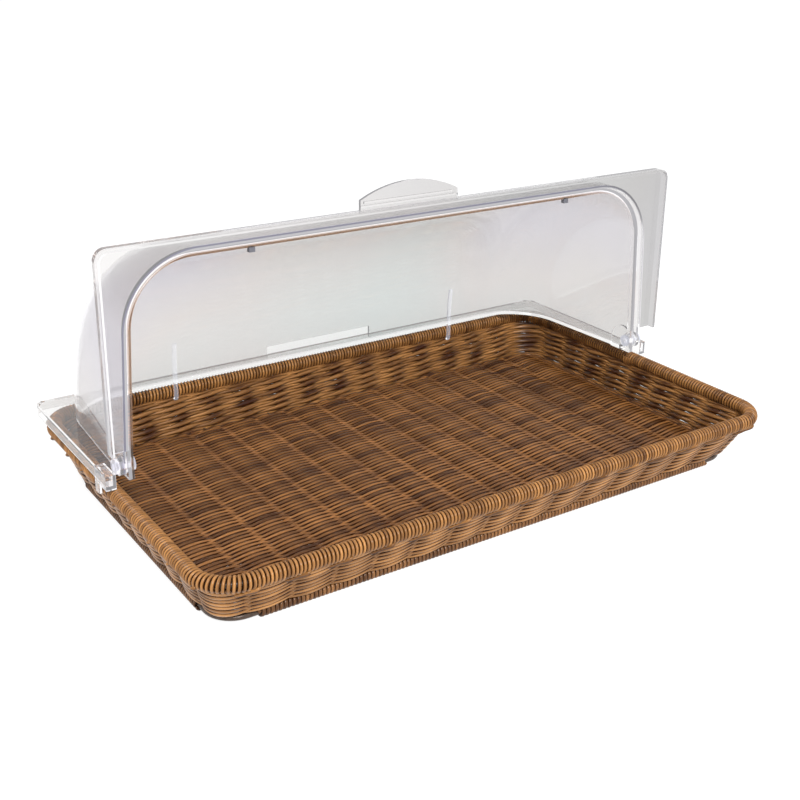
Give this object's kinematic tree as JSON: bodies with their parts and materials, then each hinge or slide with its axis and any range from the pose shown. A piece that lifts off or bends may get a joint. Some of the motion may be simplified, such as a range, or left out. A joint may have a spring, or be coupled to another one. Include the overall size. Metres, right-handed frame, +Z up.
{
  "type": "roll-top bread display basket",
  "caption": "Woven basket on a wire foot with a clear two-part cover, whose front half swings up and back over the rear half.",
  "frame": {"origin": "on the counter, under the middle of the basket", "axes": "+X along the long side to the right, +Y to the rear, +Z up"},
  "size_m": [0.6056, 0.376, 0.2852],
  "materials": {
    "rattan": "satin woven strands",
    "frame_steel": "dark coated wire",
    "clear_plastic": "clear polished",
    "washer_plastic": "translucent",
    "peg_rubber": "matte"
  },
  "bodies": {
    "basket": {"rim_wrap": "rattan", "rim_frame_wire": "frame_steel", "rim_lashing": "rattan", "woven_wall": "rattan", "wall_uprights": "frame_steel", "foot_wrap_front": "rattan", "foot_wrap_rear": "rattan", "foot_wrap_left": "rattan", "foot_wrap_right": "rattan", "foot_frame_wire": "frame_steel", "woven_base": "rattan", "base_cross_wires": "frame_steel", "fixed_cover": "clear_plastic", "hinge_pin_left": "clear_plastic", "hinge_pin_right": "clear_plastic", "hinge_washer_left": "washer_plastic", "hinge_washer_right": "washer_plastic", "pin_cap_left": "clear_plastic", "pin_cap_right": "clear_plastic", "edge_pegs": "peg_rubber", "rim_clips": "clear_plastic"},
    "roll_top": {"moving_cover": "clear_plastic"}
  },
  "joints": [
    {"name": "roll_top_hinge", "type": "hinge", "parent": "basket", "child": "roll_top", "pos_m": [0, 0, 0.07566], "axis": [1, 0, 0], "range_deg": [0, 90]}
  ]
}
